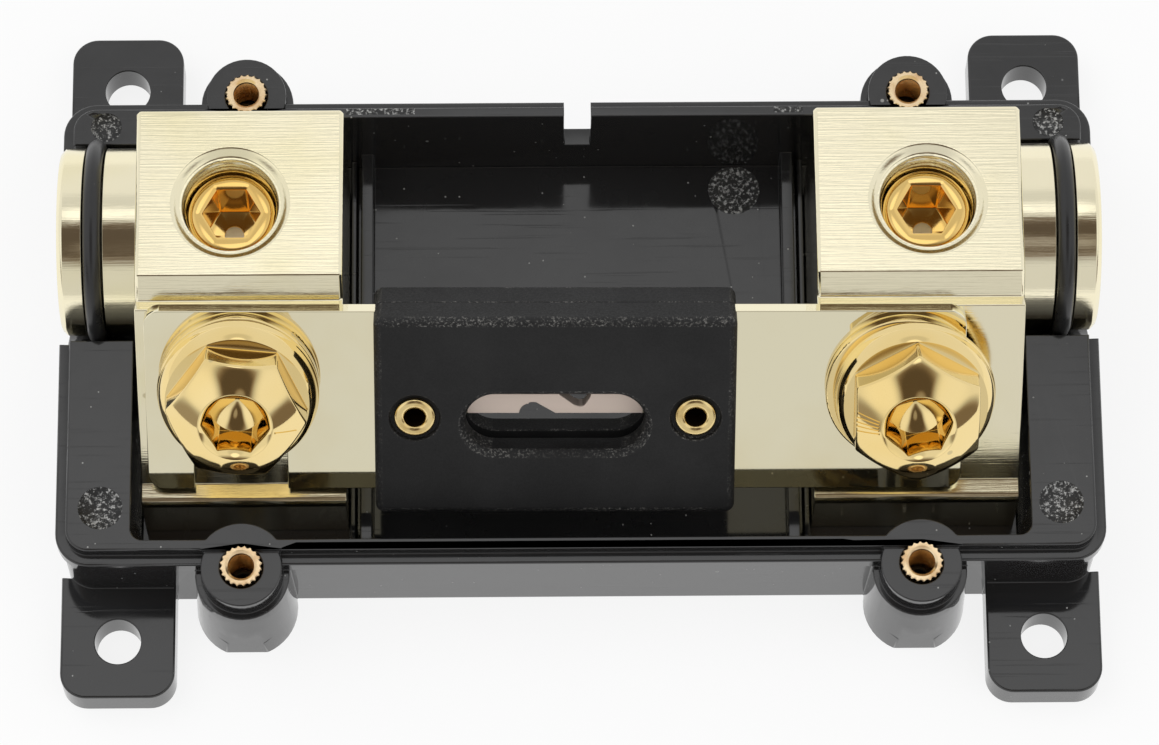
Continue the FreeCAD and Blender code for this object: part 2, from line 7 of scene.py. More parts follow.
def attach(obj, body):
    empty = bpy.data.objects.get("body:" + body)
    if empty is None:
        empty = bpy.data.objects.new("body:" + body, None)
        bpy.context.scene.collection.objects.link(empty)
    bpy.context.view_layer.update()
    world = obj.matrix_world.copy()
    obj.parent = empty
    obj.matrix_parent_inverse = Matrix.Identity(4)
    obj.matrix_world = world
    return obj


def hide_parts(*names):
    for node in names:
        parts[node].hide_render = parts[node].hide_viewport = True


mm = 0.001
mergeGap = 0.0005 * mm
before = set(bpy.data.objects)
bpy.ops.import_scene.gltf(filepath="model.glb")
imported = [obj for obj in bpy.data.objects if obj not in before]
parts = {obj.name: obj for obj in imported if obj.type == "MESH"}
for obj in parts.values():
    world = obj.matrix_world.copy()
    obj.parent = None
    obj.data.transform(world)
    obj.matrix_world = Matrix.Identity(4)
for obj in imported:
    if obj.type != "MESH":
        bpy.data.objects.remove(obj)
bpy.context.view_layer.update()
print("frame loaded,", len(parts), "nodes")

# Camera, as the photograph was taken. Lengths in metres, angles in degrees.
cameraSetup = {
    "target": (0.1 * mm, -5.1 * mm, 14.6 * mm),
    "elevation": 70.8,
    "turn": 1.53,
    "roll": 1.09,
    "distance": 568.12 * mm,
    "focalPixels": 5728.3,
    "imageWidth": 1159,
    "sensor": 36.0,
    "nearest": 0.01,
}


def placeCamera():
    turn = Matrix.Rotation(math.radians(-cameraSetup["turn"]), 4, "Z")
    tilt = Matrix.Rotation(math.radians(90 - cameraSetup["elevation"]), 4, "X")
    roll = Matrix.Rotation(math.radians(cameraSetup["roll"]), 4, "Z")
    x, y, z = cameraSetup["target"]
    back = tilt @ Vector((0, 0, cameraSetup["distance"]))
    bpy.ops.object.camera_add()
    camera = bpy.context.object
    camera.name = "photoCamera"
    camera.data.sensor_width = cameraSetup["sensor"]
    camera.data.lens = cameraSetup["focalPixels"] / cameraSetup["imageWidth"] * cameraSetup["sensor"]
    camera.data.clip_start = cameraSetup["nearest"]
    place = turn @ (Vector((x, y, 0)) + back) + Vector((0, 0, z))
    camera.matrix_world = Matrix.Translation(place) @ turn @ tilt @ roll
    bpy.context.scene.camera = camera
    print("camera placed")


def addNode(tree, kind, **settings):
    node = tree.nodes.new("ShaderNode" + kind)
    for name, value in settings.items():
        setattr(node, name, value)
    return node


def feed(tree, source, target):
    # A number, colour or another node's socket goes into a socket
    if hasattr(source, "is_linked"):
        tree.links.new(source, target)
    else:
        target.default_value = source


def calculate(tree, operation, first, second=0.0, third=0.0):
    node = addNode(tree, "Math", operation=operation)
    for index, value in enumerate((first, second, third)):
        feed(tree, value, node.inputs[index])
    return node.outputs[0]


def spread(tree, value, low, high, start=0.0, end=1.0):
    # Smoothly maps low..high to start..end
    node = addNode(tree, "MapRange", interpolation_type="SMOOTHSTEP")
    for index, number in enumerate((value, low, high, start, end)):
        feed(tree, number, node.inputs[index])
    return node.outputs[0]


def tint(tree, amount, first, second):
    node = addNode(tree, "Mix", data_type="RGBA")
    feed(tree, amount, node.inputs[0])
    for value, target in ((first, node.inputs[6]), (second, node.inputs[7])):
        feed(tree, value if hasattr(value, "is_linked") else (*value, 1), target)
    return node.outputs[2]


# Floor, lamps and the white surroundings. A patch of sky is seen by reflections only:
# its compass angle from +X, its elevation, its full and outer radius, and its brightness.
studio = {
    "floorSize": 3.0,
    "floorColor": (0.86, 0.86, 0.86, 1),
    "floorGlow": 0.85,
    "floorMirrored": 0.8,
    "skyLight": 0.62,
    "reflected": 0.86,
    "shadeColor": (1.0, 0.76, 0.58),
    "shadeLevels": (0.08, 0.55),
    "skyPatches": {
        "behind": (90, 65, 10, 19, 0.7),
        "frontLow": (-90, 14, 22, 46, 0.7),
        "frontRight": (-36, 2, 12, 26, 0.2),
        "frontLeft": (-146, 2, 10, 24, 0.35),
        "cameraSide": (-90, 70, 16, 36, 0.1),
        "boxRight": (-26, 42, 8, 26, 0.95),
        "boxLeft": (-154, 42, 8, 26, 1.0),
        "ceilingLamp": (-80, 62, 3, 9, 0.35),
        "overhead": (90, 76.5, 6, 10.5, 1.25),
    },
    "keyPower": 4.5,
    "keySize": 0.9,
    "keyPlace": (-0.55, 0.25, 0.9),
    "fillPower": 2.5,
    "fillSize": 0.9,
    "fillPlace": (0.6, -0.35, 0.8),
}


def makeFloor():
    bpy.ops.object.select_all(action="DESELECT")
    bpy.ops.mesh.primitive_plane_add(size=studio["floorSize"], location=(0, 0, 0))
    floor = bpy.context.object
    floor.name = "floor"
    paint = bpy.data.materials.new("floorPaint")
    paint.use_nodes = True
    tree = paint.node_tree
    tree.nodes.clear()
    output = addNode(tree, "OutputMaterial")
    diffuse = addNode(tree, "BsdfDiffuse")
    diffuse.inputs["Color"].default_value = studio["floorColor"]
    glow = addNode(tree, "Emission")
    rays = addNode(tree, "LightPath")
    seen = calculate(tree, "MAXIMUM", rays.outputs["Is Camera Ray"], rays.outputs["Is Transmission Ray"])
    seen = calculate(tree, "MULTIPLY", seen, studio["floorGlow"])
    mirrored = calculate(tree, "MULTIPLY", rays.outputs["Is Glossy Ray"], studio["floorMirrored"])
    seen = calculate(tree, "MAXIMUM", seen, mirrored)
    mix = addNode(tree, "MixShader")
    tree.links.new(seen, mix.inputs[0])
    tree.links.new(diffuse.outputs[0], mix.inputs[1])
    tree.links.new(glow.outputs[0], mix.inputs[2])
    tree.links.new(mix.outputs[0], output.inputs[0])
    floor.data.materials.append(paint)


def reflectedSky(tree):
    # What polished metal sees round the studio: white walls with brighter and darker patches
    direction = addNode(tree, "TexCoord").outputs["Generated"]
    level = studio["reflected"]
    for compass, elevation, full, outer, brightness in studio["skyPatches"].values():
        compass, elevation = math.radians(compass), math.radians(elevation)
        middle = (math.cos(compass) * math.cos(elevation), math.sin(compass) * math.cos(elevation),
                  math.sin(elevation))
        nearness = addNode(tree, "VectorMath", operation="DOT_PRODUCT")
        tree.links.new(direction, nearness.inputs[0])
        nearness.inputs[1].default_value = middle
        low, high = math.cos(math.radians(outer)), math.cos(math.radians(full))
        amount = spread(tree, nearness.outputs["Value"], low, high)
        change = calculate(tree, "SUBTRACT", brightness, level)
        level = calculate(tree, "MULTIPLY_ADD", amount, change, level)
    return level


def makeSky():
    world = bpy.data.worlds.new("studioSky")
    bpy.context.scene.world = world
    world.use_nodes = True
    tree = world.node_tree
    sky = tree.nodes["Background"]
    sky.inputs["Color"].default_value = (1, 1, 1, 1)
    sky.inputs["Strength"].default_value = studio["skyLight"]
    white = addNode(tree, "Background")
    white.inputs["Color"].default_value = (1, 1, 1, 1)
    white.inputs["Strength"].default_value = 1.0
    polished = addNode(tree, "Background")
    seenLevel = reflectedSky(tree)
    tree.links.new(seenLevel, polished.inputs["Strength"])
    paleness = spread(tree, seenLevel, *studio["shadeLevels"])  # dark patches are warm, bright ones white
    tree.links.new(tint(tree, paleness, studio["shadeColor"], (1, 1, 1)), polished.inputs["Color"])
    rays = addNode(tree, "LightPath")
    seen = calculate(tree, "MAXIMUM", rays.outputs["Is Camera Ray"], rays.outputs["Is Transmission Ray"])
    backdrop = addNode(tree, "MixShader")
    tree.links.new(seen, backdrop.inputs[0])
    tree.links.new(sky.outputs[0], backdrop.inputs[1])
    tree.links.new(white.outputs[0], backdrop.inputs[2])
    whole = addNode(tree, "MixShader")
    tree.links.new(rays.outputs["Is Glossy Ray"], whole.inputs[0])
    tree.links.new(backdrop.outputs[0], whole.inputs[1])
    tree.links.new(polished.outputs[0], whole.inputs[2])
    tree.links.new(whole.outputs[0], tree.nodes["World Output"].inputs[0])


def addLamp(name, place, power, size):
    bpy.ops.object.light_add(type="AREA", location=place)
    lamp = bpy.context.object
    lamp.name = name
    lamp.data.energy = power
    lamp.data.size = size
    lamp.rotation_euler = Vector(place).to_track_quat("Z", "Y").to_euler()
    lamp.visible_glossy = False  # the sky's patches stand for it in reflections


def lightStudio():
    makeFloor()
    makeSky()
    addLamp("keyLamp", studio["keyPlace"], studio["keyPower"], studio["keySize"])
    addLamp("fillLamp", studio["fillPlace"], studio["fillPower"], studio["fillSize"])
    bpy.context.scene.view_settings.view_transform = "Standard"
    print("studio lit")


placeCamera()
lightStudio()


# Finishes

def startFinish(name):
    finish = bpy.data.materials.new(name)
    finish.use_nodes = True
    tree = finish.node_tree
    shader = tree.nodes["Principled BSDF"]
    place = addNode(tree, "TexCoord").outputs["Object"]
    return finish, tree, shader, place


def stretched(tree, place, scale, turn=(0, 0, 0)):
    node = addNode(tree, "Mapping")
    tree.links.new(place, node.inputs["Vector"])
    node.inputs["Scale"].default_value = scale
    node.inputs["Rotation"].default_value = [math.radians(angle) for angle in turn]
    return node.outputs[0]


def grain(tree, place, scale, detail=3.0, roughness=0.5):
    node = addNode(tree, "TexNoise")
    tree.links.new(place, node.inputs["Vector"])
    node.inputs["Scale"].default_value = scale
    node.inputs["Detail"].default_value = detail
    node.inputs["Roughness"].default_value = roughness
    return node.outputs["Fac"]


def specks(tree, place, scale, size, share):
    # Small round dots in a share of the cells
    node = addNode(tree, "TexVoronoi")
    tree.links.new(place, node.inputs["Vector"])
    node.inputs["Scale"].default_value = scale
    near = spread(tree, node.outputs["Distance"], size, size * 0.5)
    parted = addNode(tree, "SeparateColor")
    tree.links.new(node.outputs["Color"], parted.inputs[0])
    chosen = calculate(tree, "LESS_THAN", parted.outputs[0], share)
    return calculate(tree, "MULTIPLY", near, chosen)


def relief(tree, shader, height, depth, strength=1.0, under=None):
    node = addNode(tree, "Bump")
    tree.links.new(height, node.inputs["Height"])
    node.inputs["Distance"].default_value = depth
    node.inputs["Strength"].default_value = strength
    if under:
        tree.links.new(under, node.inputs["Normal"])
    tree.links.new(node.outputs[0], shader.inputs["Normal"])
    return node.outputs[0]


def platedMetal(name, look):
    # Bright plating over a brushed or turned base, with faint stains, pits and hairlines
    finish, tree, shader, place = startFinish(name)
    shader.inputs["Metallic"].default_value = look["metal"]
    lines = grain(tree, stretched(tree, place, look["brush"]), 1.0, 4.0, 0.62)
    clouds = grain(tree, place, look["cloudScale"], 3.0, 0.55)
    stain = spread(tree, clouds, *look["stainFrom"])
    color = tint(tree, stain, look["color"], look["stain"])
    pits = specks(tree, place, look["pitScale"], look["pitSize"], look["pits"])
    color = tint(tree, calculate(tree, "MULTIPLY", pits, look["pitTint"]), color, look["pitColor"])
    tree.links.new(color, shader.inputs["Base Color"])
    dull = spread(tree, clouds, 0.3, 0.8, look["roughness"][0], look["roughness"][1])
    dull = calculate(tree, "MULTIPLY_ADD", lines, look["lineDull"], dull)
    tree.links.new(dull, shader.inputs["Roughness"])
    waves = grain(tree, place, look["waveScale"], 2.0)
    soft = relief(tree, shader, waves, look["waveDepth"])
    height = calculate(tree, "MULTIPLY_ADD", pits, -1.0, lines)
    relief(tree, shader, height, look["lineDepth"], under=soft)
    return finish


def shinyPlastic(name, look):
    # Moulded plastic: slight orange peel, dust specks and hairline scratches
    finish, tree, shader, place = startFinish(name)
    shader.inputs["Specular IOR Level"].default_value = look["specular"]
    dust = specks(tree, place, look["dustScale"], look["dustSize"], look["dust"])
    fineDust = specks(tree, place, look["fineDustScale"], look["fineDustSize"], look["dust"])
    dust = calculate(tree, "MAXIMUM", dust, fineDust)
    clouds = grain(tree, place, look["cloudScale"], 4.0, 0.6)
    color = tint(tree, clouds, look["color"], look["paler"])
    color = tint(tree, calculate(tree, "MULTIPLY", dust, look["dustTint"]), color, look["dustColor"])
    tree.links.new(color, shader.inputs["Base Color"])
    scratches = None
    for turn in look["scratchTurns"]:
        line = grain(tree, stretched(tree, place, look["scratchStretch"], (0, 0, turn)), 1.0, 2.0)
        line = spread(tree, line, *look["scratchFrom"])
        scratches = line if scratches is None else calculate(tree, "MAXIMUM", scratches, line)
    dull = spread(tree, clouds, 0.35, 0.75, look["roughness"][0], look["roughness"][1])
    dull = calculate(tree, "MULTIPLY_ADD", scratches, look["scratchDull"], dull)
    dull = calculate(tree, "MULTIPLY_ADD", dust, look["dustDull"], dull)
    tree.links.new(dull, shader.inputs["Roughness"])
    peel = grain(tree, place, look["peelScale"], 2.0)
    soft = relief(tree, shader, peel, look["peelDepth"])
    height = calculate(tree, "SUBTRACT", dust, scratches)
    relief(tree, shader, height, look["scratchDepth"], under=soft)
    return finish


def grainyPlastic(name, look):
    # Matt moulded surface with a spark-eroded grain, painted paler on the edges that the mesh marks, and with
    # painted glints: pale flecks of the grain in its colour
    finish, tree, shader, place = startFinish(name)
    shader.inputs["Specular IOR Level"].default_value = look["specular"]
    fine = grain(tree, place, look["grainScale"], 5.0, 0.7)
    clouds = grain(tree, place, look["cloudScale"], 3.0, 0.6)
    edge = addNode(tree, "Attribute", attribute_name="paleEdges").outputs["Fac"]
    paleEdges = calculate(tree, "MULTIPLY", edge, spread(tree, fine, 0.5, 0.66))
    paleEdges = calculate(tree, "MULTIPLY", paleEdges, spread(tree, clouds, 0.36, 0.6, 0.25, 1.0))
    color = tint(tree, spread(tree, clouds, 0.3, 0.75), look["color"], look["paler"])
    # painted glints: the highest flecks of the grain are painted pale in the base colour
    glints = spread(tree, fine, look["paintedGlintFrom"], look["paintedGlintFrom"] + 0.14)
    paintedGlint = calculate(tree, "MULTIPLY", glints, look["paintedGlint"])
    color = tint(tree, calculate(tree, "MAXIMUM", paleEdges, paintedGlint), color, look["edgeAndGlintPaleColor"])
    tree.links.new(color, shader.inputs["Base Color"])
    dull = spread(tree, fine, 0.3, 0.7, look["roughness"][0], look["roughness"][1])
    tree.links.new(dull, shader.inputs["Roughness"])
    relief(tree, shader, fine, look["grainDepth"])
    return finish


def ringRubber(name, look):
    finish, tree, shader, place = startFinish(name)
    clouds = grain(tree, place, look["cloudScale"], 4.0, 0.6)
    color = tint(tree, clouds, look["color"], look["paler"])
    lint = specks(tree, place, look["lintScale"], look["lintSize"], look["lint"])
    color = tint(tree, calculate(tree, "MULTIPLY", lint, look["lintTint"]), color, look["lintColor"])
    tree.links.new(color, shader.inputs["Base Color"])
    tree.links.new(spread(tree, clouds, 0.3, 0.75, *look["roughness"]), shader.inputs["Roughness"])
    relief(tree, shader, grain(tree, place, look["grainScale"], 3.0), look["grainDepth"])
    return finish


terminalLook = {
    "color": (0.94, 0.87, 0.64), "stain": (0.9, 0.82, 0.53), "pitColor": (0.5, 0.42, 0.24),
    "brush": (110, 5200, 5200), "cloudScale": 60.0, "stainFrom": (0.42, 0.72),
    "pitScale": 420.0, "pits": 0.03, "pitSize": 0.16, "pitTint": 0.6, "metal": 1.0,
    "roughness": (0.05, 0.1), "lineDull": 0.08, "lineDepth": 0.012 * mm,
    "waveScale": 70.0, "waveDepth": 0.01 * mm,
}
bladeLook = dict(terminalLook, color=(0.92, 0.86, 0.63), stain=(0.88, 0.79, 0.53), brush=(2600, 300, 300),
                 lineDepth=0.0008 * mm, lineDull=0.02, waveDepth=0.012 * mm, roughness=(0.02, 0.05))
boltLook = dict(terminalLook, color=(0.91, 0.72, 0.35), stain=(0.88, 0.66, 0.27), brush=(900, 900, 900),
                lineDepth=0.001 * mm, lineDull=0.03, roughness=(0.03, 0.08), waveScale=160.0)
screwLook = dict(boltLook, color=(0.92, 0.64, 0.23), stain=(0.88, 0.56, 0.16))
# painted highlight: the set screw's drilled point gets a paler, partly matt plating
drillHighlightLook = dict(terminalLook, roughness=(0.35, 0.5), lineDepth=0.02 * mm, brush=(3000, 3000, 3000), metal=0.6)
linkLook = dict(terminalLook, color=(0.72, 0.6, 0.52), stain=(0.62, 0.5, 0.42), brush=(700, 2400, 700),
                lineDepth=0.003 * mm, roughness=(0.36, 0.46), metal=0.45)
insertLook = dict(terminalLook, color=(0.9, 0.7, 0.44), stain=(0.78, 0.52, 0.28), brush=(1500, 1500, 5200),
                  lineDepth=0.005 * mm, roughness=(0.14, 0.26), cloudScale=400.0)
eyeletLook = dict(terminalLook, color=(0.86, 0.67, 0.32), stain=(0.66, 0.46, 0.17), brush=(1200, 1200, 1200),
                  lineDepth=0.003 * mm, roughness=(0.1, 0.2), cloudScale=500.0)
# painted shade: the inside of the eyelets' tube is coloured dark brown
boreShadeLook = dict(eyeletLook, color=(0.16, 0.09, 0.035), stain=(0.08, 0.05, 0.025), roughness=(0.3, 0.5))
trayLook = {
    "color": (0.015, 0.015, 0.0155), "paler": (0.022, 0.022, 0.0225), "dustColor": (0.36, 0.36, 0.35),
    "specular": 0.66, "roughness": (0.06, 0.14), "cloudScale": 90.0, "dust": 0.07, "dustScale": 520.0,
    "dustSize": 0.13, "fineDustScale": 1404.0, "fineDustSize": 0.16, "dustTint": 0.8, "dustDull": 0.4,
    "scratchTurns": (12, 64, 118), "scratchStretch": (45, 2600, 2600), "scratchFrom": (0.67, 0.72),
    "scratchDull": 0.09, "scratchDepth": 0.0025 * mm, "peelScale": 260.0, "peelDepth": 0.01 * mm,
}
# the marks' pale flecks are painted glints
markLook = {
    "color": (0.008, 0.008, 0.0085), "paler": (0.02, 0.02, 0.02), "edgeAndGlintPaleColor": (0.5, 0.5, 0.49),
    "grainScale": 3000.0, "cloudScale": 140.0, "paintedGlint": 0.9, "paintedGlintFrom": 0.5,
    "roughness": (0.3, 0.7), "grainDepth": 0.12 * mm, "specular": 0.5,
}
fuseLook = {
    "color": (0.008, 0.008, 0.0083), "paler": (0.013, 0.013, 0.0133), "edgeAndGlintPaleColor": (0.17, 0.165, 0.155),
    "grainScale": 4200.0, "cloudScale": 140.0, "paintedGlint": 0.12, "paintedGlintFrom": 0.62,
    "roughness": (0.46, 0.66), "grainDepth": 0.03 * mm, "specular": 0.3,
}
rubberLook = {
    "color": (0.008, 0.008, 0.0085), "paler": (0.02, 0.02, 0.021), "lintColor": (0.3, 0.3, 0.29),
    "roughness": (0.26, 0.42), "cloudScale": 220.0, "lint": 0.05, "lintScale": 900.0, "lintSize": 0.14,
    "lintTint": 0.5, "grainScale": 2600.0, "grainDepth": 0.006 * mm,
}

trayPlastic = shinyPlastic("trayPlastic", trayLook)
markPlastic = grainyPlastic("markPlastic", markLook)
fusePlastic = grainyPlastic("fusePlastic", fuseLook)
champagnePlate = platedMetal("champagnePlate", terminalLook)
bladePlate = platedMetal("bladePlate", bladeLook)
goldPlate = platedMetal("goldPlate", boltLook)
screwPlate = platedMetal("screwPlate", screwLook)
drillHighlightPlate = platedMetal("drillHighlightPlate", drillHighlightLook)
linkMetal = platedMetal("linkMetal", linkLook)
insertBrass = platedMetal("insertBrass", insertLook)
eyeletBrass = platedMetal("eyeletBrass", eyeletLook)
boreShadeBrown = platedMetal("boreShadeBrown", boreShadeLook)
blackRubber = ringRubber("blackRubber", rubberLook)
print("finishes made")


# Shaping helpers

def pick(piece):
    if bpy.context.object and bpy.context.object.mode != "OBJECT":
        bpy.ops.object.mode_set(mode="OBJECT")
    bpy.ops.object.select_all(action="DESELECT")
    piece.select_set(True)
    bpy.context.view_layer.objects.active = piece


def startEdit(piece):
    pick(piece)
    bpy.ops.object.mode_set(mode="EDIT")
    bpy.ops.mesh.select_all(action="SELECT")


def endEdit():
    bpy.ops.object.mode_set(mode="OBJECT")


def finishWith(piece, kind, **settings):
    # Adds one modifier, sets it and applies it
    pick(piece)
    bpy.ops.object.modifier_add(type=kind)
    modifier = piece.modifiers[-1]
    for name, value in settings.items():
        setattr(modifier, name, value)
    bpy.ops.object.modifier_apply(modifier=modifier.name)


def copyOfNode(nodeName, name):
    # The node's triangles are merged, and flat ones joined, in a copy of its own
    pick(parts[nodeName])
    bpy.ops.object.duplicate(linked=False)
    piece = bpy.context.object
    piece.name = name
    piece.data.name = name
    startEdit(piece)
    bpy.ops.mesh.remove_doubles(threshold=mergeGap)
    bpy.ops.mesh.dissolve_limited(angle_limit=math.radians(0.4))  # less than a curved face's step
    endEdit()
    return piece


def roundEdges(piece, width, segments=2, angle=28, shortest=0.05, leaveOut=None):
    # Rounds the crisp edges, leaving out those too short to hold a curve
    startEdit(piece)
    bpy.ops.mesh.select_mode(type="EDGE")
    bpy.ops.mesh.select_all(action="DESELECT")
    bpy.ops.mesh.edges_select_sharp(sharpness=math.radians(angle))
    bpy.ops.transform.edge_bevelweight(value=1.0)
    bpy.ops.mesh.select_mode(type="VERT")
    endEdit()
    corners = piece.data.vertices
    weights = piece.data.attributes["bevel_weight_edge"].data
    for edge in piece.data.edges:
        first, second = (corners[index].co for index in edge.vertices)
        if (first - second).length < shortest * mm or leaveOut and leaveOut((first + second) / 2):
            weights[edge.index].value = 0.0
    finishWith(piece, "BEVEL", width=width, segments=segments, limit_method="WEIGHT", loop_slide=False,
               use_clamp_overlap=False, miter_outer="MITER_ARC")
    piece.data.attributes.remove(piece.data.attributes["bevel_weight_edge"])


def smoothOver(piece, angle=38, weighted=True):
    pick(piece)
    bpy.ops.object.shade_smooth_by_angle(angle=math.radians(angle))
    if weighted:
        finishWith(piece, "WEIGHTED_NORMAL", weight=60, keep_sharp=True)


def paintWith(piece, finish, *others):
    piece.data.materials.clear()
    for material in (finish, *others):
        piece.data.materials.append(material)


def traceLine(name, points):
    # A chain of edges, drawn vertex by vertex
    bpy.ops.object.select_all(action="DESELECT")
    bpy.ops.mesh.primitive_plane_add(size=mm)
    piece = bpy.context.object
    piece.name = name
    piece.data.name = name
    startEdit(piece)
    bpy.ops.mesh.merge(type="CENTER")
    last = Vector(points[0])
    bpy.ops.transform.translate(value=last)
    for point in points[1:]:
        step = Vector(point) - last
        bpy.ops.mesh.extrude_region_move(TRANSFORM_OT_translate={"value": step})
        last = Vector(point)
    return piece


def turnedPiece(name, outline, steps=64):
    # The outline's points are (radius, height) in millimetres, closed round the section
    points = [(radius * mm, 0, height * mm) for radius, height in outline]
    piece = traceLine(name, points + points[:1])
    bpy.ops.mesh.select_all(action="SELECT")
    bpy.ops.mesh.remove_doubles(threshold=mergeGap)
    bpy.ops.mesh.spin(steps=steps, angle=2 * math.pi, center=(0, 0, 0), axis=(0, 0, 1))
    bpy.ops.mesh.select_all(action="SELECT")
    bpy.ops.mesh.remove_doubles(threshold=mergeGap)
    bpy.ops.mesh.normals_make_consistent(inside=False)
    endEdit()
    return piece


def cutOutline(name, outline, low, high):
    # A prism on a closed outline in millimetres
    piece = traceLine(name, [(x * mm, y * mm, low * mm) for x, y in outline])
    bpy.ops.mesh.select_all(action="SELECT")
    bpy.ops.mesh.edge_face_add()
    bpy.ops.mesh.extrude_region_move(TRANSFORM_OT_translate={"value": (0, 0, (high - low) * mm)})
    bpy.ops.mesh.select_all(action="SELECT")
    bpy.ops.mesh.normals_make_consistent(inside=False)
    endEdit()
    return piece


def carve(piece, cutter):
    finishWith(piece, "BOOLEAN", operation="DIFFERENCE", object=cutter, solver="EXACT")
    bpy.data.objects.remove(cutter)


def splitAcross(piece, x):
    # Divides the faces along a plane across the piece, so that each side can have its own finish
    startEdit(piece)
    bpy.ops.mesh.bisect(plane_co=(x * mm, 0, 0), plane_no=(1, 0, 0))
    endEdit()


def joinTo(piece, *others):
    pick(piece)
    for other in others:
        other.select_set(True)
    bpy.ops.object.join()


def bringTo(piece, place=(0, 0, 0), turn=(0, 0, 0)):
    # Turns and moves a piece, and then keeps its place in its mesh
    pick(piece)
    piece.location = [value * mm for value in place]
    piece.rotation_euler = [math.radians(angle) for angle in turn]
    bpy.ops.object.transform_apply(location=True, rotation=True, scale=True)


def wrappedSheet(name, angles, rows):
    # A grid wrapped round the Z axis: rows gives each angle its (radius, height) points, ends on the axis
    sections = [rows(angle) for angle in angles]
    across, along = len(angles), len(sections[0]) - 1
    bpy.ops.object.select_all(action="DESELECT")
    bpy.ops.mesh.primitive_grid_add(x_subdivisions=across, y_subdivisions=along, size=2 * mm)
    piece = bpy.context.object
    piece.name = name
    piece.data.name = name
    for corner in piece.data.vertices:
        column = round((corner.co.x / mm + 1) / 2 * across) % across
        row = round((corner.co.y / mm + 1) / 2 * along)
        angle = math.radians(angles[column])
        radius, height = sections[column][row]
        corner.co = (radius * math.cos(angle) * mm, radius * math.sin(angle) * mm, height * mm)
    startEdit(piece)
    bpy.ops.mesh.remove_doubles(threshold=mergeGap)
    bpy.ops.mesh.normals_make_consistent(inside=False)
    endEdit()
    return piece


def arcOver(start, end, bulge, steps):
    # Points of an arc from start to end that stands bulge off the straight line, outwards and upwards
    (x0, z0), (x1, z1) = start, end
    chord = math.hypot(x1 - x0, z1 - z0)
    radius = (chord * chord / 4 + bulge * bulge) / (2 * bulge)
    outX, outZ = abs(z1 - z0) / chord, abs(x1 - x0) / chord
    centreX = (x0 + x1) / 2 - outX * (radius - bulge)
    centreZ = (z0 + z1) / 2 - outZ * (radius - bulge)
    first = math.atan2(z0 - centreZ, x0 - centreX)
    last = math.atan2(z1 - centreZ, x1 - centreX)
    turns = [first + (last - first) * step / steps for step in range(steps + 1)]
    return [(centreX + radius * math.cos(turn), centreZ + radius * math.sin(turn)) for turn in turns]


def hexagonReach(acrossFlats, fromCorner, rounding):
    # How far a hexagon with rounded corners reaches, at an angle from its nearest corner
    away = abs((fromCorner + 30) % 60 - 30)
    middle = (acrossFlats / 2 - rounding) / math.cos(math.radians(30))
    end = math.degrees(math.atan2(rounding / 2, middle + rounding * math.cos(math.radians(30))))
    if away > end:
        return acrossFlats / 2 / math.cos(math.radians(30 - away))
    side = middle * math.sin(math.radians(away))
    return middle * math.cos(math.radians(away)) + math.sqrt(rounding * rounding - side * side)


def twinOf(piece, name):
    pick(piece)
    bpy.ops.object.duplicate(linked=False)
    twin = bpy.context.object
    twin.name = name
    twin.data.name = name
    return twin


# The sloping plates: 47.5 degrees up from the front, through the barrels' axis
slopeSetup = {"angle": 47.5, "axisY": 9.0, "axisZ": 14.6}


def ontoSlope(piece, place, turn=0):
    bringTo(piece, place, (0, 0, turn))
    bringTo(piece, (0, slopeSetup["axisY"], slopeSetup["axisZ"]), (slopeSetup["angle"], 0, 0))


# Tray, with its edges rounded and the mould's marks in it
traySetup = {
    "edge": 0.13 * mm,
    "top": 14.6,
    "markDepth": 0.07,
    "ejectorMarks": [(-47.3, -18.9, 14.6, 2.2), (47.3, -18.9, 14.6, 2.2), (-47.4, 21.3, 14.6, 1.55),
                     (47.4, 21.3, 14.6, 1.55), (16.1, 19.2, 1.5, 2.65)],
    "lipMarks": [(-28.0, -19.8, -23.0), (17.6, 25.7, -23.0), (-23.3, -16.4, 23.0), (19.8, 22.7, 23.0)],
    "lipMarkWidth": 0.9,
    "spare": 0.03,
    "cutAbove": 1.0,
}


def inMark(place, above=traySetup["spare"]):
    # Whether a place is in one of the marks, or at most that far above its edge
    s = traySetup
    x, y, z = (value / mm for value in place)
    spare = s["spare"]
    for markX, markY, markZ, radius in s["ejectorMarks"]:
        if math.hypot(x - markX, y - markY) < radius + spare and -above < markZ - z < s["markDepth"] + spare:
            return True
    for start, end, markY in s["lipMarks"]:
        beside = abs(y - markY) < s["lipMarkWidth"] / 2 + spare
        inside = start - spare < x < end + spare and beside
        if inside and -above < s["top"] - z < s["markDepth"] + spare:
            return True
    return False


def makeTray():
    s = traySetup
    tray = copyOfNode("base", "tray")
    deep = s["markDepth"]
    for x, y, z, radius in s["ejectorMarks"]:
        above = z + s["cutAbove"]
        ring = [(0.0, z - deep), (radius, z - deep), (radius, above), (0.0, above)]
        cutter = turnedPiece("ejectorCut", ring, steps=40)
        bringTo(cutter, (x, y, 0))
        carve(tray, cutter)
    for start, end, y in s["lipMarks"]:
        half = s["lipMarkWidth"] / 2
        outline = [(start, y - half), (end, y - half), (end, y + half), (start, y + half)]
        carve(tray, cutOutline("lipCut", outline, s["top"] - deep / 2, s["top"] + s["cutAbove"]))
    roundEdges(tray, s["edge"], leaveOut=inMark)
    paintWith(tray, trayPlastic, markPlastic)
    for face in tray.data.polygons:  # the marks' floors are matt
        if face.normal.z > 0.99 and inMark(face.center, -0.02):
            face.material_index = 1
    smoothOver(tray)
    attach(tray, "holder")
    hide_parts("base")
    print("tray made,", len(tray.data.polygons), "faces")


makeTray()


# Knurled brass inserts with a thread inside
insertSetup = {"x": 33.4, "y": 24.9, "top": 14.65, "length": 6.0, "radius": 2.1, "tooth": 0.17,
               "teeth": 20, "columns": 120, "bore": 1.3, "mouth": 0.22, "pitch": 0.5, "thread": 0.14,
               "edge": 0.1}


